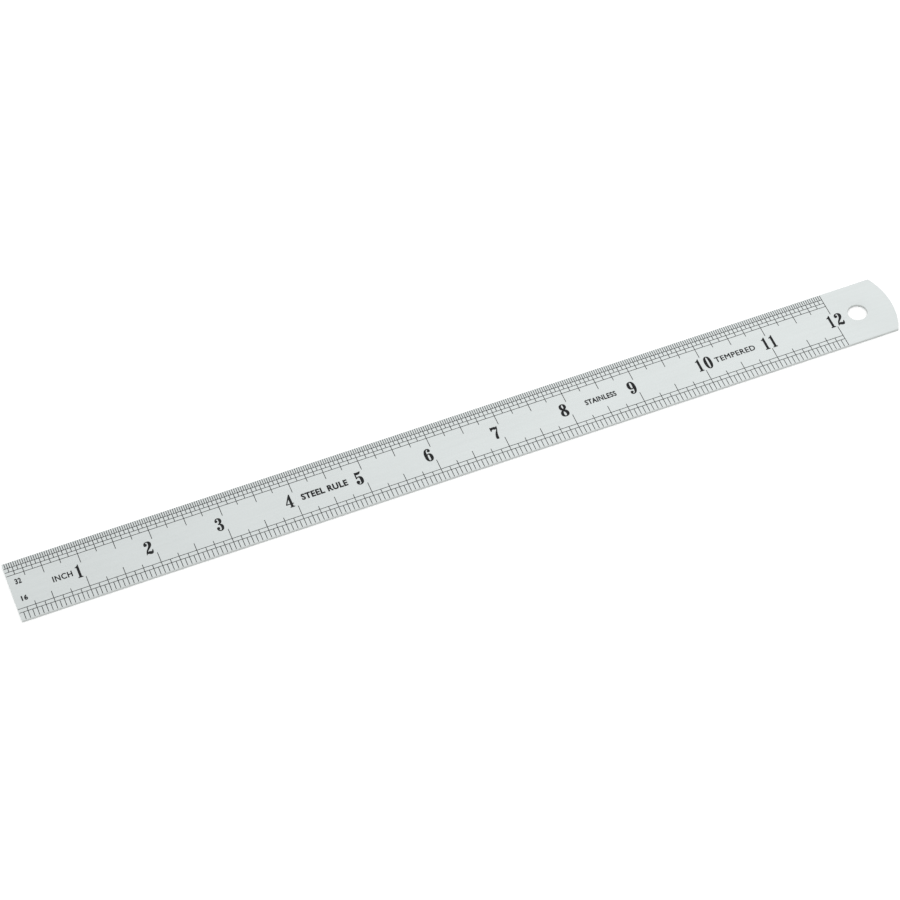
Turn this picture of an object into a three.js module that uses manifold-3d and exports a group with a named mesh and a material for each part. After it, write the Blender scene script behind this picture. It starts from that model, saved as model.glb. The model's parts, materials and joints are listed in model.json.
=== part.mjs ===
// A 12 inch steel ruler: one strip of stainless steel with a rounded end and a hanging hole, whose face is
// graduated in black with thirty-seconds along the upper edge, sixteenths along the lower edge and the
// inch figures between them.
//
// Millimetres, +Z up out of the graduated face. +X runs from the zero end to the hanging hole and +Y to
// the upper edge. The origin is the middle of the underside. The black stands a little proud of the face,
// and each scale is one network of graduations and rails to the inch, with twelve of them end to end.

import * as THREE from "three";
import { mergeVertices } from "three/addons/utils/BufferGeometryUtils.js";
import Module from "manifold-3d";

// Driving dimensions of the strip.
const INCH = 25.4;
const INCHES = 12;
const LENGTH = 327;
const WIDTH = 25;
const THICKNESS = 1;
const EDGE_BREAK = 0.1;
const END_RADIUS = 28;
const HOLE_RADIUS = 3.55;
const HOLE_FROM_ZERO = 314;
const ROUND_SEGMENTS = 16;

// Driving dimensions of the black.
const INK_DEPTH = 0.05;
const LINE_WIDTH = 0.25;
const LINES_FROM_EDGE = 0.13;
const FIGURE_HEIGHT = 5.65;
const FIGURE_MIDDLE = -0.3;
const FIGURE_SEGMENTS = 4;
const PAIR_BEFORE_LINE = 0.5;
const PAIR_AFTER_LINE = 0.6;

// The gap between each single figure, from 1 to 9, and its inch line. The round ones stand nearer.
const GAPS_BEFORE_LINE = [0.85, 0.9, 0.9, 0.95, 0.75, 0.45, 1.0, 0.6, 0.25];

// How far the graduations reach in from the edge, from the finest up to the whole inch. The finest end on
// rails, which are lines that run the length of the scale.
const UPPER_SCALE = { perInch: 32, reach: [2.3, 4.0, 5.6, 7.2, 8.7, 9.6], rails: 3 };
const LOWER_SCALE = { perInch: 16, reach: [3.3, 4.9, 6.4, 8.0, 9.3], rails: 2 };

const steel = new THREE.MeshStandardMaterial({ color: 0xd9dedd, roughness: 0.35, metalness: 1 });
const ink = new THREE.MeshStandardMaterial({ color: 0x161818, roughness: 0.6, metalness: 0 });

const wasm = await Module();
wasm.setup();

// Solids ---------------------------------------------------------------------------------------------

function solidFrom(geometry) {
  const bare = geometry.clone();
  bare.deleteAttribute("normal");
  bare.deleteAttribute("uv");
  const merged = mergeVertices(bare);
  return new wasm.Manifold(
    new wasm.Mesh({
      numProp: 3,
      vertProperties: merged.attributes.position.array,
      triVerts: new Uint32Array(merged.index.array),
    }),
  );
}

function geometryFrom(solid) {
  const mesh = solid.getMesh();
  return new THREE.BufferGeometry()
    .setAttribute("position", new THREE.BufferAttribute(mesh.vertProperties, 3))
    .setIndex(new THREE.BufferAttribute(mesh.triVerts, 1));
}

function named(name, geometry, material) {
  const mesh = new THREE.Mesh(geometry, material);
  mesh.name = name;
  return mesh;
}

// The strip ------------------------------------------------------------------------------------------

function stripOutline() {
  const half = WIDTH / 2;
  const sweep = Math.asin(half / END_RADIUS);
  const outline = new THREE.Shape();
  outline.moveTo(0, half);
  outline.lineTo(0, -half);
  outline.absarc(LENGTH - END_RADIUS, 0, END_RADIUS, -sweep, sweep, false);
  outline.closePath();

  const hole = new THREE.Path();
  hole.absarc(HOLE_FROM_ZERO, 0, HOLE_RADIUS, 0, 2 * Math.PI, true);
  outline.holes.push(hole);
  return outline;
}

function makeStrip() {
  const geometry = new THREE.ExtrudeGeometry(stripOutline(), {
    depth: THICKNESS - 2 * EDGE_BREAK,
    curveSegments: ROUND_SEGMENTS,
    bevelThickness: EDGE_BREAK,
    bevelSize: EDGE_BREAK,
    bevelOffset: -EDGE_BREAK,
    bevelSegments: 1,
  });
  geometry.translate(0, 0, EDGE_BREAK);
  return named("steel_strip", geometry, steel);
}

// The scales -----------------------------------------------------------------------------------------

// A bar of ink from (left, near) to (right, far), standing on the plane z = 0.
function bar(left, near, right, far) {
  const geometry = new THREE.BoxGeometry(right - left, far - near, INK_DEPTH);
  geometry.translate((left + right) / 2, (near + far) / 2, INK_DEPTH / 2);
  return solidFrom(geometry);
}

// The length of a graduation: 0 for the finest, one more each time its spacing doubles, up to the inch.
function rankOf(line, ranks) {
  let rank = 0;
  while (rank < ranks - 1 && line % 2 ** (rank + 1) === 0) rank += 1;
  return rank;
}

// One inch of a scale, with X from the last inch line and Y in from the edge of the strip.
function inchGeometry({ perInch, reach, rails }) {
  const half = LINE_WIDTH / 2;
  const bars = reach.slice(0, rails).map((rail) => bar(half, rail - half, INCH + half, rail + half));
  for (let line = 1; line <= perInch; line += 1) {
    const rank = rankOf(line, reach.length);
    const at = (line * INCH) / perInch;
    bars.push(bar(at - half, LINES_FROM_EDGE, at + half, reach[rank] + (rank < rails ? half : 0)));
  }
  return geometryFrom(wasm.Manifold.union(bars).asOriginal().simplify());
}

function makeScale(name, scale, side) {
  const group = new THREE.Group();
  const geometry = inchGeometry(scale);
  for (let inch = 1; inch <= INCHES; inch += 1) {
    const mesh = named(`${name}_inch_${inch}`, geometry, ink);
    mesh.position.x = (inch - 1) * INCH;
    group.add(mesh);
  }
  group.position.set(0, (side * WIDTH) / 2, THICKNESS);
  group.scale.y = -side;
  return group;
}

// The figures ----------------------------------------------------------------------------------------

// Bold upright figures with thinner upstrokes, on a height of 100. The first path is the outline and
// the others are its counters.
const FIGURES = {
  0: {
    width: 50,
    paths: [
      "M25 0 C41 0 50 18 50 50 C50 82 41 100 25 100 C9 100 0 82 0 50 C0 18 9 0 25 0",
      "M25 7 C21 7 19 22 19 50 C19 78 21 93 25 93 C29 93 31 78 31 50 C31 22 29 7 25 7",
    ],
  },
  1: {
    width: 31,
    paths: [
      `M0 0 L31 0 L31 7 C26 7 24 9 24 13 L24 100 L19 100 C14 91 8 86 0 85 L0 78 L8 78 L8 13
        C8 9 5 7 0 7`,
    ],
  },
  2: {
    width: 48,
    paths: [
      `M0 75 C0 91 11 100 24 100 C40 100 48 91 48 76 C48 58 34 47 24 37 C19 31 15 27 14 22
        C18 26 23 26 30 23 C37 19 40 22 42 33 L48 33 C48 11 44 0 33 0 C23 0 16 7 9 7 C6 7 4 4 3 0
        L0 0 C0 19 5 30 12 41 C20 52 28 62 28 77 C28 88 27 92 22 92 C18 92 15 90 14 87
        C18 86 22 83 22 77 C22 70 17 65 11 65 C4 65 0 69 0 75`,
    ],
  },
  3: {
    width: 47,
    paths: [
      `M3 77 C3 91 13 100 24 100 C37 100 45 91 45 77 C45 65 40 58 32 54 C42 50 47 41 47 27
        C47 10 37 0 23 0 C10 0 1 9 1 22 C1 29 5 34 11 34 C17 34 21 30 21 24 C21 18 18 14 14 13
        C15 10 18 8 21 8 C27 8 29 14 29 27 C29 42 26 49 16 49 L16 57 C25 57 27 64 27 77
        C27 88 25 92 21 92 C18 92 15 90 14 87 C18 86 21 83 21 78 C21 72 17 68 11 68 C6 68 3 72 3 77`,
    ],
  },
  4: {
    width: 50,
    paths: [
      `M20 0 L50 0 L50 7 C44 7 42 9 42 13 L42 24 L50 24 L50 31 L42 31 L42 100 L35 100 L0 31 L0 24
        L26 24 L26 13 C26 9 25 7 20 7`,
      "M26 32 L9 32 L26 64",
    ],
  },
  5: {
    width: 49,
    paths: [
      `M6 100 C17 96 29 96 41 100 L46 100 C45 85 36 77 24 77 C20 77 17 77 14 79 L14 60
        C17 63 21 65 28 65 C42 65 49 53 49 33 C49 12 38 0 23 0 C10 0 0 8 0 21 C0 30 5 35 12 35
        C18 35 23 30 23 24 C23 18 20 14 15.5 13 C16 9 19 8 22 8 C27 8 28 15 28 33 C28 49 27 56 22 56
        C18 56 15 53 13 48 L6 48`,
    ],
  },
  6: {
    width: 52,
    paths: [
      `M26 0 C43 0 52 12 52 32 C52 52 43 63 31 63 C26 63 23 61 20 58 C20 83 23 92 29 92
        C31 92 33 91 34 89 C30 88 27 86 27 80 C27 74 31 71 37 71 C43 71 47 75 47 83
        C47 93 40 100 29 100 C12 100 0 80 0 47 C0 16 9 0 26 0`,
      "M26 8 C21.5 8 20 15 20 31 C20 47 22 54 26 54 C30.5 54 32 47 32 32 C32 15 30.5 8 26 8",
    ],
  },
  7: {
    width: 48,
    paths: [
      `M1 100 L6 100 C8 97 12 97 17 98 C25 100 31 98 36 96 C41 94 44 96 45 100 L48 100 L48 88
        C45 68 35 49 34 22 C34 12 34 7 33 4 C31 -1 18 -1 16 4 C13 11 16 30 23 46 C29 60 35 68 39 76
        C33 74 28 77 22 79 C14 81 9 77 7 68 L1 68`,
    ],
  },
  8: {
    width: 53,
    paths: [
      `M26.5 0 C43 0 53 9 53 26 C53 40 47 48 37 54 C45 59 50 67 50 77 C50 91 41 100 27 100
        C13 100 4 91 4 76 C4 65 7 57 15 52 C6 47 0 38 0 25 C0 9 10 0 26.5 0`,
      "M26.5 8 C21 8 19 14 19 24 C19 32 21 38 24 42 C30 35 33 29 33 21 C33 13 31 8 26.5 8",
      "M27 92 C24 92 22 87 22 79 C22 72 24 67 28 63 C31 67 32 71 32 77 C32 87 30 92 27 92",
    ],
  },
};

// Reads a path of moves M, lines L and cubic curves C, at the given size.
function readPath(target, text, size) {
  for (const [, letter, list] of text.matchAll(/([MLC])([^MLC]*)/g)) {
    const values = list.trim().split(/\s+/).map((value) => Number(value) * size);
    if (letter === "M") target.moveTo(...values);
    if (letter === "L") target.lineTo(...values);
    if (letter === "C") target.bezierCurveTo(...values);
  }
  target.closePath();
  return target;
}

// A nine is a six turned half round.
const isNine = (figure) => figure === 9;
const drawingOf = (figure) => FIGURES[isNine(figure) ? 6 : figure];
const figureWidth = (figure) => (drawingOf(figure).width * FIGURE_HEIGHT) / 100;

// One figure of ink, with its lower left corner at the origin.
function figureGeometry(figure) {
  const size = FIGURE_HEIGHT / 100;
  const [outline, ...counters] = drawingOf(figure).paths;
  const shape = readPath(new THREE.Shape(), outline, size);
  shape.holes = counters.map((counter) => readPath(new THREE.Path(), counter, size));
  const geometry = new THREE.ExtrudeGeometry(shape, {
    depth: INK_DEPTH,
    curveSegments: FIGURE_SEGMENTS,
    bevelEnabled: false,
  });
  if (isNine(figure)) geometry.rotateZ(Math.PI).translate(figureWidth(figure), FIGURE_HEIGHT, 0);
  return geometry;
}

function makeFigure(name, figure, left) {
  const mesh = named(name, figureGeometry(figure), ink);
  mesh.position.set(left, FIGURE_MIDDLE - FIGURE_HEIGHT / 2, THICKNESS);
  return mesh;
}

// A single figure stands before its inch line. The two of a pair stand on either side of it.
function makeInchFigures(inch) {
  const line = inch * INCH;
  if (inch < 10) {
    return [makeFigure(`figure_${inch}`, inch, line - GAPS_BEFORE_LINE[inch - 1] - figureWidth(inch))];
  }
  return [
    makeFigure(`figure_${inch}_tens`, 1, line - PAIR_BEFORE_LINE - figureWidth(1)),
    makeFigure(`figure_${inch}_units`, inch - 10, line + PAIR_AFTER_LINE),
  ];
}

// The ruler ------------------------------------------------------------------------------------------

const fromZeroEnd = new THREE.Group();
fromZeroEnd.position.x = -LENGTH / 2;
fromZeroEnd.add(makeStrip(), makeScale("upper", UPPER_SCALE, 1), makeScale("lower", LOWER_SCALE, -1));
for (let inch = 1; inch <= INCHES; inch += 1) fromZeroEnd.add(...makeInchFigures(inch));

const ruler = new THREE.Group();
ruler.add(fromZeroEnd);

export default ruler;
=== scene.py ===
"""The finished steel ruler: a satin strip with its marks etched into the face and filled with black.

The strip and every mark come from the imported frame. The frame's marks stand on the face, so here they are
sunk into it: one triangulated relief gives the steel its grooves and each mark the fill that lies in them.
Everything is in metres, with +X to the hanging hole, +Y to the thirty-seconds and +Z out of the face.
"""

import json
import math

import bmesh
import bpy
import numpy as np
from mathutils import Matrix, Vector
from mathutils.geometry import delaunay_2d_cdt


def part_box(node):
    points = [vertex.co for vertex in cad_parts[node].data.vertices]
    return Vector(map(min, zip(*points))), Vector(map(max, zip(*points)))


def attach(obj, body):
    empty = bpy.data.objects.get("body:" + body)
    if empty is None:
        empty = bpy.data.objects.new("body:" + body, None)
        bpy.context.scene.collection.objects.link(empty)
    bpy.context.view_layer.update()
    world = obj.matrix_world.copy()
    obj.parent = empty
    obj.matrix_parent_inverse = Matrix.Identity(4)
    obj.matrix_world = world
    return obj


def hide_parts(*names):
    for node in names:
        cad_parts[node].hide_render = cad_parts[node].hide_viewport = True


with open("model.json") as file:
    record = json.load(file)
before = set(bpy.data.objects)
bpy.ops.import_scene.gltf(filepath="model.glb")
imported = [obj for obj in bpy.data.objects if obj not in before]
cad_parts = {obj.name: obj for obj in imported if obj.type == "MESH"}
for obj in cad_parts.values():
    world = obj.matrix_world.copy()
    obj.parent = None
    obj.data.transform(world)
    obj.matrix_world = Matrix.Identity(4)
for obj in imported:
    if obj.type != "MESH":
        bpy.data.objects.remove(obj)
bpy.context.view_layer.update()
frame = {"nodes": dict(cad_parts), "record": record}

MM = 0.001
INCH = 25.4 * MM

# Points closer together than this are one point.
WELD = 0.0002 * MM

# The etching's depth, how far its black lies below the face, and the radius of the strip's edges.
GROOVE_DEPTH = 0.05 * MM
FILL_BELOW_FACE = 0.012 * MM
EDGE_ROUND = 0.08 * MM

# How many chords go round an edge's profile, the rounded end and the hole, and how many take the place of
# each chord of a figure's curve.
EDGE_STEPS = 4
END_STEPS = 64
HOLE_STEPS = 96
CURVE_STEPS = 4

# A turn sharper than this is a corner of an outline. Any other is a point of a curve.
CORNER = math.radians(38)

# Two faces of a piece that meet at a sharper turn than this keep a crisp edge between them.
CREASE = math.radians(30)

# How far apart the letters stand, against the typeface's own spacing, how finely their curves are cut, and
# how many times the growth of a stroke its sharpest corners move.
LETTER_SPACING = 1.12
LETTER_STEPS = 5
SHARPEST_GROWTH = 2

# The small lettering: its words, where each starts and ends in inches from the zero end, and in millimetres
# the height of its capitals, that of their middle above the ruler's middle line, and how much each stroke
# grows on either side.
LETTERING = {
    "scale_32_mark": ("32", 0.090, 0.179, 2.4, 3.8, 0.11),
    "scale_16_mark": ("16", 0.094, 0.182, 2.2, -3.7, 0.13),
    "unit_mark": ("INCH", 0.568, 0.844, 2.5, -0.3, 0.09),
    "tool_mark": ("STEEL RULE", 4.085, 4.750, 2.8, -0.3, 0.155),
    "steel_mark": ("STAINLESS", 8.235, 8.695, 2.35, -0.25, 0.11),
    "temper_mark": ("TEMPERED", 10.180, 10.785, 2.35, -0.35, 0.08),
}

# The camera: where it stands, the place it looks at, its turn about that line and its lens.
EYE = Vector((-0.2107, -0.6423, 0.8760))
AIM = Vector((-0.00529, -0.00109, 0.001))
ROLL = math.radians(-4.10)
LENS = 127.5

# The studio: how wide the floor is, how bright the white surroundings are, and each softbox's place, the
# length of its side and its power in watts.
FLOOR_SIZE = 6.0
SURROUNDINGS = 1.3
SOFTBOXES = {
    "back_softbox": ((1.0, 1.3, 1.75), 1.6, 3.0),
    "left_softbox": ((-1.5, 1.3, 1.2), 1.4, 2.0),
    "front_softbox": ((1.3, -1.6, 1.2), 1.4, 2.0),
}


# Measures from the frame -----------------------------------------------------------------------------

strip_low, strip_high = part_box("steel_strip")
strip_points = np.array([v.co for v in frame["nodes"]["steel_strip"].data.vertices])

FACE = strip_high.z
HALF_WIDTH = strip_high.y
ZERO_END = strip_low.x
end_corner = strip_points[strip_points[:, 1] > HALF_WIDTH - WELD, 0].max()
end_bulge = strip_high.x - end_corner
END_RADIUS = (HALF_WIDTH**2 + end_bulge**2) / (2 * end_bulge)

hole_low, hole_high = frame["record"]["physics"]["openings"][0]["box_m"]
HOLE_X = (hole_low[0] + hole_high[0]) / 2
HOLE_RADIUS = np.hypot(strip_points[:, 0] - HOLE_X, strip_points[:, 1]).min()


# Outlines --------------------------------------------------------------------------------------------

def outlines_of(mesh):
    """The outlines of a mesh's top face, each a list of points with the face on its left."""
    solid = bmesh.new()
    solid.from_mesh(mesh)
    bmesh.ops.remove_doubles(solid, verts=solid.verts, dist=WELD)
    level = max(v.co.z for v in solid.verts) - WELD
    top = dict.fromkeys(face for face in solid.faces if min(v.co.z for v in face.verts) > level)
    following = {}
    for face in top:
        for loop in face.loops:
            if not any(other in top for other in loop.edge.link_faces if other is not face):
                following[loop.vert] = loop.link_loop_next.vert
    outlines = []
    while following:
        start, at = next(iter(following.items()))
        outline = [start.co.xy.copy()]
        del following[start]
        while at is not start:
            outline.append(at.co.xy.copy())
            at = following.pop(at)
        outlines.append(outline)
    solid.free()
    return outlines


def unit(vectors):
    """The same ways as these vectors, each one long."""
    return vectors / np.linalg.norm(vectors, axis=1, keepdims=True)


def smoothed(outline):
    """The outline with its curves made finer: each chord beside a curve's point becomes a cubic."""
    points = np.array(outline, float)
    ahead = np.roll(points, -1, axis=0) - points
    behind = np.roll(ahead, 1, axis=0)
    turn = np.arccos(np.clip((unit(ahead) * unit(behind)).sum(axis=1), -1, 1))
    corner = (turn > CORNER)[:, None]
    along = unit(ahead + behind)
    leaving = np.where(corner, unit(ahead), along)
    arriving = np.roll(np.where(corner, unit(behind), along), -1, axis=0)
    chord = np.linalg.norm(ahead, axis=1, keepdims=True)
    straight = (corner & np.roll(corner, -1, axis=0))[:, 0]
    finer = []
    for i, point in enumerate(points):
        finer.append(point)
        if straight[i]:
            continue
        for t in np.arange(1, CURVE_STEPS) / CURVE_STEPS:
            bend = t * (1 - t) * chord[i] * ((1 - t) * leaving[i] - t * arriving[i])
            finer.append(point + (3 * t**2 - 2 * t**3) * ahead[i] + bend)
    return [Vector(point) for point in finer]


def node_outlines(*nodes):
    """The outlines of the top faces of these CAD nodes, with their curves made finer."""
    meshes = [frame["nodes"][node].data for node in nodes]
    return [smoothed(outline) for mesh in meshes for outline in outlines_of(mesh)]


def grown(outline, by):
    """The outline moved outward by a distance, so that its stroke grows on every side."""
    ahead = unit(np.roll(outline, -1, axis=0) - outline)
    along = unit(ahead + np.roll(ahead, 1, axis=0))
    stretch = np.maximum((along * ahead).sum(axis=1, keepdims=True), 1 / SHARPEST_GROWTH)
    away = along[:, ::-1] * (1, -1)
    return outline + by * away / stretch


def word_outlines(text, start, end, height, middle, growth):
    """The outlines of a word, fitted between two places in inches and to a height in millimetres."""
    lettering = bpy.data.curves.new("lettering", "FONT")
    lettering.body = text
    lettering.space_character = LETTER_SPACING
    lettering.resolution_u = LETTER_STEPS
    holder = bpy.data.objects.new("lettering", lettering)
    outlines = [np.array(outline) for outline in outlines_of(bpy.data.meshes.new_from_object(holder))]
    bpy.data.objects.remove(holder)
    points = np.concatenate(outlines)
    corner, extent = points.min(axis=0), np.ptp(points, axis=0)
    low = (ZERO_END + start * INCH, (middle - height / 2) * MM) + np.full(2, growth * MM)
    size = np.array([(end - start) * INCH, height * MM]) - 2 * growth * MM
    fitted = [(outline - corner) * size / extent + low for outline in outlines]
    return [[Vector(point) for point in grown(outline, growth * MM)] for outline in fitted]


def strip_outline(inset):
    """The strip's outline, anticlockwise from the upper corner of the zero end, drawn in by inset."""
    half, radius = HALF_WIDTH - inset, END_RADIUS - inset
    sweep = math.asin(half / radius)
    centre = strip_high.x - END_RADIUS
    arc = [
        Vector((centre + radius * math.cos(angle), radius * math.sin(angle)))
        for angle in np.linspace(-sweep, sweep, END_STEPS + 1)
    ]
    return [Vector((ZERO_END + inset, half)), Vector((ZERO_END + inset, -half)), *arc]


def hole_outline(inset):
    """The hole's outline, clockwise, opened by inset."""
    radius = HOLE_RADIUS + inset
    return [
        Vector((HOLE_X + radius * math.cos(angle), -radius * math.sin(angle)))
        for angle in np.linspace(0, 2 * math.pi, HOLE_STEPS, endpoint=False)
    ]


# Relief ----------------------------------------------------------------------------------------------

def inside(points, outlines):
    """Which points the outlines go round anticlockwise, counted where a ray to +X crosses their edges."""
    turns = np.zeros(len(points), int)
    x, y = points.T
    for outline in outlines:
        for start, end in zip(outline, outline[1:] + outline[:1]):
            spans = (start.y > y) != (end.y > y)
            if spans.any():
                crossing = start.x + (y - start.y) * (end.x - start.x) / (end.y - start.y)
                turns += np.where(spans & (x < crossing), 1 if end.y > start.y else -1, 0)
    return turns > 0


def near(points, outlines):
    """Which points lie within the box around the outlines."""
    corners = np.array([point for outline in outlines for point in outline])
    return ((points > corners.min(axis=0)) & (points < corners.max(axis=0))).all(axis=1)


def triangulate(outlines):
    """The plane cut into triangles along the outlines: its points, and the triangles anticlockwise."""
    points, edges = [], []
    for outline in outlines:
        first, count = len(points), len(outline)
        points += outline
        edges += [(first + i, first + (i + 1) % count) for i in range(count)]
    points, _, triangles, *_ = delaunay_2d_cdt(points, edges, [], 0, WELD / 2, False)
    return np.array(points), triangles


def label(points, triangles, rims, marks):
    """The mark that each triangle lies in: its name, "steel" between the marks, or None off the strip."""
    centres = np.array([points[list(triangle)].mean(axis=0) for triangle in triangles])
    labels = np.where(inside(centres, rims), "steel", None)
    for name, outlines in marks.items():
        close = np.flatnonzero(near(centres, outlines))
        labels[close[inside(centres[close], outlines)]] = name
    return labels


def borders(triangles, labels):
    """The edges where the label changes, as (start, end, label on the left, label on the right)."""
    side = {}
    for triangle, name in zip(triangles, labels):
        for start, end in zip(triangle, (*triangle[1:], triangle[0])):
            side[start, end] = name
    for (start, end), name in side.items():
        other = side.get((end, start))
        if name != other:
            yield start, end, name, other


class Surface:
    """Faces gathered one by one, then welded into a mesh."""

    def __init__(self):
        self.points, self.faces, self.smooth = [], [], []

    def face(self, corners, smooth=False):
        """A face with these corners, anticlockwise as seen from outside."""
        first = len(self.points)
        self.points += corners
        self.faces.append(range(first, len(self.points)))
        self.smooth.append(smooth)

    def wall(self, start, end, low, high):
        """An upright face from start to end, facing to the right of that way."""
        (a, b), (c, d) = start, end
        self.face([(a, b, low), (c, d, low), (c, d, high), (a, b, high)])

    def piece(self, name, material, slot):
        """The finished piece, with its material, on the ruler's body. Its slot is not used."""
        mesh = bpy.data.meshes.new(name)
        mesh.from_pydata(self.points, [], self.faces)
        mesh.polygons.foreach_set("use_smooth", self.smooth)
        welded = bmesh.new()
        welded.from_mesh(mesh)
        bmesh.ops.remove_doubles(welded, verts=welded.verts, dist=WELD)
        welded.to_mesh(mesh)
        welded.free()
        mesh.set_sharp_from_angle(angle=CREASE)
        mesh.materials.append(material)
        made = bpy.data.objects.new(name, mesh)
        bpy.context.scene.collection.objects.link(made)
        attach(made, "root")
        return made


# The strip -------------------------------------------------------------------------------------------

def edge_profile():
    """(inset, height) down an edge of the strip, round from the face to the underside."""
    turns = np.linspace(0, math.pi / 2, EDGE_STEPS + 1)
    upper = [(EDGE_ROUND * (1 - math.sin(t)), FACE - EDGE_ROUND * (1 - math.cos(t))) for t in turns]
    return upper + [(inset, FACE - height) for inset, height in reversed(upper)]


def add_edge(surface, outline):
    """The rounded edge along an outline that has the steel on its left."""
    profile = edge_profile()
    for (inset, height), (next_inset, next_height) in zip(profile, profile[1:]):
        upper, lower = outline(inset), outline(next_inset)
        for i in range(len(upper)):
            a, b, c, d = lower[i - 1], lower[i], upper[i], upper[i - 1]
            corners = [(*a, next_height), (*b, next_height), (*c, height), (*d, height)]
            surface.face(corners, smooth=True)


def add_underside(surface):
    """The flat underside, with the hole in it."""
    rims = [strip_outline(EDGE_ROUND), hole_outline(EDGE_ROUND)]
    points, triangles = triangulate(rims)
    for triangle, name in zip(triangles, label(points, triangles, rims, {})):
        if name:
            surface.face([(*points[i], 0) for i in reversed(triangle)])


def build_ruler(marks, steel, ink):
    """The strip and the fill of each mark, cut from one relief so that they meet exactly."""
    rims = [strip_outline(EDGE_ROUND), hole_outline(EDGE_ROUND)]
    cuts = [outline for outlines in marks.values() for outline in outlines]
    points, triangles = triangulate(rims + cuts)
    labels = label(points, triangles, rims, marks)
    floor, fill = FACE - GROOVE_DEPTH, FACE - FILL_BELOW_FACE
    surfaces = {name: Surface() for name in ("steel", *marks)}
    strip = surfaces["steel"]
    for triangle, name in zip(triangles, labels):
        if name == "steel":
            strip.face([(*points[i], FACE) for i in triangle])
        elif name:
            strip.face([(*points[i], floor) for i in triangle])
            surfaces[name].face([(*points[i], fill) for i in triangle])
            surfaces[name].face([(*points[i], floor) for i in reversed(triangle)])
    for start, end, name, other in borders(triangles, labels):
        if name in marks:
            surfaces[name].wall(points[start], points[end], floor, fill)
        if name == "steel" and other in marks:
            strip.wall(points[start], points[end], floor, FACE)
    add_edge(strip, strip_outline)
    add_edge(strip, hole_outline)
    add_underside(strip)
    pieces = {name: surfaces[name].piece(f"{name}_fill", ink, "ink") for name in marks}
    pieces["steel"] = strip.piece("strip_finished", steel, "steel")
    return pieces


# Materials -------------------------------------------------------------------------------------------

# A Mix node's sockets for colours come after those for numbers and vectors.
MIX_FACTOR, MIX_FIRST, MIX_SECOND = 0, 6, 7
MIX_RESULT = 2

# How far up or down a surface faces, out of one, where the steel is all edge and where it is all face.
ALL_EDGE = 0.15
ALL_FACE = 0.75


class Value:
    """A socket that Python's operators work on: each one adds a Math node."""

    def __init__(self, shader, socket):
        self.shader, self.socket = shader, socket

    def math(self, operation, *values):
        inputs = dict(enumerate(values))
        return self.shader.node("ShaderNodeMath", {"operation": operation}, inputs)

    def __add__(self, other):
        return self.math("ADD", self, other)

    def __sub__(self, other):
        return self.math("SUBTRACT", self, other)

    def __rsub__(self, other):
        return self.math("SUBTRACT", other, self)

    def __mul__(self, other):
        return self.math("MULTIPLY", self, other)

    def __abs__(self):
        return self.math("ABSOLUTE", self)

    __radd__ = __add__
    __rmul__ = __mul__


class Shader:
    """A material's nodes, for a finish laid out in millimetres on the piece."""

    def __init__(self, name):
        self.material = bpy.data.materials.new(name)
        self.material.use_nodes = True
        self.tree = self.material.node_tree
        self.tree.nodes.clear()
        metres = self.node("ShaderNodeTexCoord", output="Object")
        self.place = self.scaled(metres, (1 / MM, 1 / MM, 1 / MM))

    def node(self, kind, settings=None, inputs=None, output=0):
        """A new node with these settings, and these values or links in its sockets: one of its outputs."""
        made = self.tree.nodes.new(kind)
        for setting, value in (settings or {}).items():
            setattr(made, setting, value)
        for socket, value in (inputs or {}).items():
            if isinstance(value, Value):
                self.tree.links.new(value.socket, made.inputs[socket])
            else:
                made.inputs[socket].default_value = value
        return Value(self, made.outputs[output]) if made.outputs else None

    def scaled(self, vector, scale):
        """A vector with each of its parts multiplied by the same part of scale."""
        return self.node("ShaderNodeVectorMath", {"operation": "MULTIPLY"}, {0: vector, 1: scale})

    def noise(self, cycles, detail=2.0, roughness=0.5):
        """Noise about nought, with its cycles per millimetre along X, Y and Z."""
        place = self.scaled(self.place, cycles)
        inputs = {"Vector": place, "Scale": 1.0, "Detail": detail, "Roughness": roughness}
        return self.node("ShaderNodeTexNoise", None, inputs) - 0.5

    def ramp(self, value, low, high):
        """Nought up to low, one from high, and a smooth rise between."""
        inputs = {"Value": value, "From Min": low, "From Max": high}
        return self.node("ShaderNodeMapRange", {"interpolation_type": "SMOOTHSTEP"}, inputs)

    def mix(self, factor, first, second):
        """Two colours mixed: the first where factor is nought."""
        inputs = {MIX_FACTOR: factor, MIX_FIRST: first, MIX_SECOND: second}
        return self.node("ShaderNodeMix", {"data_type": "RGBA"}, inputs, MIX_RESULT)

    def bump(self, height, depth):
        """A Normal from a height between nought and one, over a depth in millimetres."""
        inputs = {"Strength": 1.0, "Distance": depth * MM, "Height": height}
        return self.node("ShaderNodeBump", None, inputs)

    def finish(self, inputs):
        """The material, once these values and links are on its surface."""
        surface = self.node("ShaderNodeBsdfPrincipled", None, inputs)
        self.node("ShaderNodeOutputMaterial", None, {"Surface": surface})
        return self.material


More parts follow.
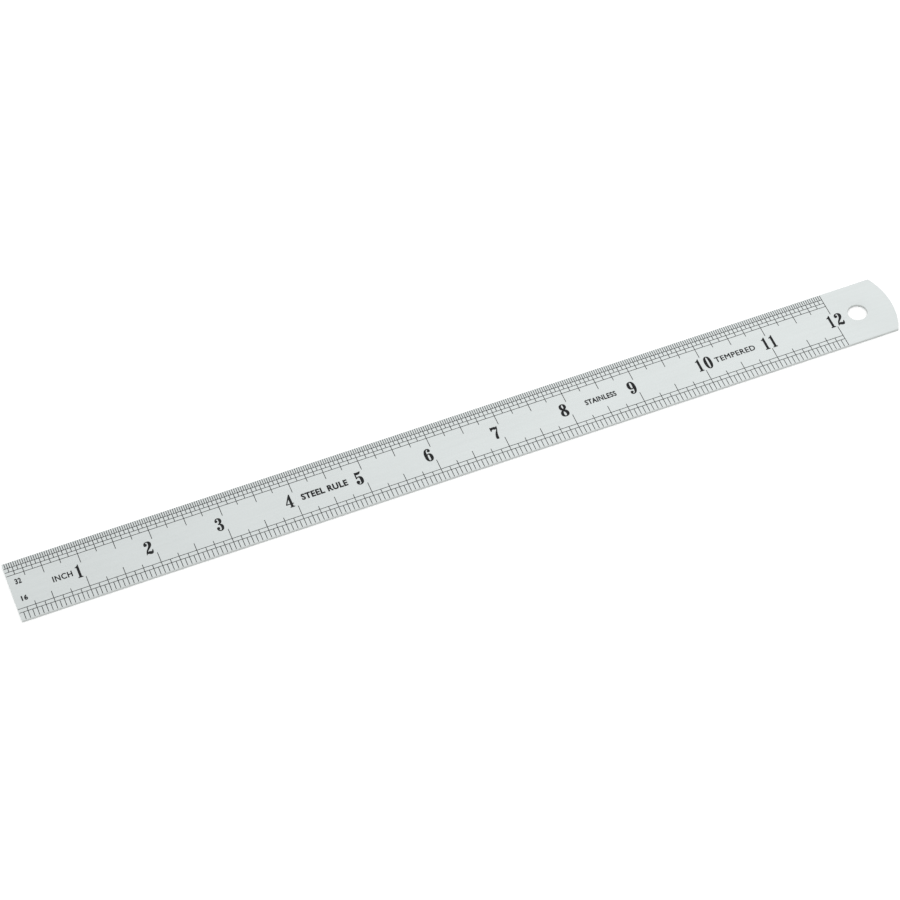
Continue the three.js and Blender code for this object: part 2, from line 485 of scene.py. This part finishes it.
def satin_steel():
    """Stainless steel with a fine grain along the strip, and duller sheared edges."""
    shader = Shader("satin_steel")
    dark_steel = (0.430, 0.454, 0.450, 1)
    light_steel = (0.514, 0.541, 0.539, 1)
    sheared_steel = (0.50, 0.52, 0.513, 1)
    normal = shader.node("ShaderNodeNewGeometry", output="Normal")
    upright = shader.node("ShaderNodeSeparateXYZ", None, {0: normal}, output="Z")
    edge = 1 - shader.ramp(abs(upright), ALL_EDGE, ALL_FACE)
    clouds = shader.noise((0.03, 0.06, 0.06), detail=3.0)
    streaks = shader.noise((0.05, 1.6, 1.6), detail=3.0)
    grain = shader.noise((0.35, 9.0, 9.0), detail=4.0, roughness=0.6)
    tooth = shader.noise((7.0, 7.0, 1.2), detail=3.0)
    lightness = clouds * 0.5 + streaks * 0.35 + grain * 0.9 + 0.5
    face = shader.mix(lightness, dark_steel, light_steel)
    return shader.finish({
        "Base Color": shader.mix(edge, face, sheared_steel),
        "Metallic": 1.0,
        "Roughness": 0.34 + grain * 0.14 + clouds * 0.05 + edge * 0.16,
        "Normal": shader.bump(grain * (1 - edge) + tooth * edge + 0.5, depth=0.0015),
    })


def etched_black():
    """The dull black fill, a little uneven where it has dried in the grooves."""
    shader = Shader("etched_black")
    thick_black = (0.004, 0.004, 0.005, 1)
    thin_black = (0.016, 0.017, 0.018, 1)
    thinness = shader.noise((2.5, 2.5, 2.5), detail=3.0)
    pits = shader.noise((16.0, 16.0, 16.0))
    return shader.finish({
        "Base Color": shader.mix(thinness + 0.5, thick_black, thin_black),
        "Roughness": 0.55 + thinness * 0.2,
        "Specular IOR Level": 0.1,
        "Normal": shader.bump(pits + 0.5, depth=0.004),
    })


def studio_white():
    """The floor's matt white, hardly uneven."""
    shader = Shader("studio_white")
    dull_white = (0.90, 0.90, 0.90, 1)
    clean_white = (0.93, 0.93, 0.93, 1)
    shade = shader.noise((0.004, 0.004, 0.004))
    return shader.finish({
        "Base Color": shader.mix(shade + 0.5, dull_white, clean_white),
        "Roughness": 0.9,
        "Specular IOR Level": 0.0,
    })


# The studio ------------------------------------------------------------------------------------------

def build_floor():
    """The white floor that the ruler lies on."""
    half = FLOOR_SIZE / 2
    mesh = bpy.data.meshes.new("floor")
    corners = [(-half, -half, 0), (half, -half, 0), (half, half, 0), (-half, half, 0)]
    mesh.from_pydata(corners, [], [(0, 1, 2, 3)])
    mesh.materials.append(studio_white())
    floor = bpy.data.objects.new("floor", mesh)
    bpy.context.scene.collection.objects.link(floor)


def facing(eye, aim, roll=0.0):
    """Where something stands at eye and looks at aim, turned by roll about its line of sight."""
    turn = (aim - eye).to_track_quat("-Z", "Y").to_matrix().to_4x4()
    return Matrix.Translation(eye) @ turn @ Matrix.Rotation(roll, 4, "Z")


def add_softbox(name, place, size, watts):
    """A square light that faces the middle of the ruler's underside."""
    light = bpy.data.lights.new(name, "AREA")
    light.shape = "SQUARE"
    light.size = size
    light.energy = watts
    lamp = bpy.data.objects.new(name, light)
    bpy.context.scene.collection.objects.link(lamp)
    lamp.matrix_world = facing(Vector(place), Vector((0, 0, 0)))


def light_studio():
    """White surroundings and the softboxes."""
    world = bpy.data.worlds.new("studio")
    world.use_nodes = True
    background = world.node_tree.nodes["Background"]
    background.inputs["Color"].default_value = (1, 1, 1, 1)
    background.inputs["Strength"].default_value = SURROUNDINGS
    bpy.context.scene.world = world
    bpy.context.scene.view_settings.view_transform = "Standard"
    for name, (place, size, watts) in SOFTBOXES.items():
        add_softbox(name, place, size, watts)


def set_camera():
    lens = bpy.data.cameras.new("camera")
    lens.lens = LENS
    camera = bpy.data.objects.new("camera", lens)
    bpy.context.scene.collection.objects.link(camera)
    camera.matrix_world = facing(EYE, AIM, ROLL)
    bpy.context.scene.camera = camera


# The ruler -------------------------------------------------------------------------------------------

def nodes_of(start):
    """The CAD's nodes whose names start with these letters."""
    return [node for node in frame["nodes"] if node.startswith(start)]


# The marks that stand in for CAD nodes, each with the nodes that it replaces.
replaced = {side + "_scale": nodes_of(side) for side in ("upper", "lower")}
replaced |= {node: [node] for node in nodes_of("figure")}
marks = {name: node_outlines(*nodes) for name, nodes in replaced.items()}
marks |= {name: word_outlines(*word) for name, word in LETTERING.items()}

set_camera()
pieces = build_ruler(marks, satin_steel(), etched_black())
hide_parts("steel_strip")
for name, nodes in replaced.items():
    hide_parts(*nodes)
build_floor()
light_studio()
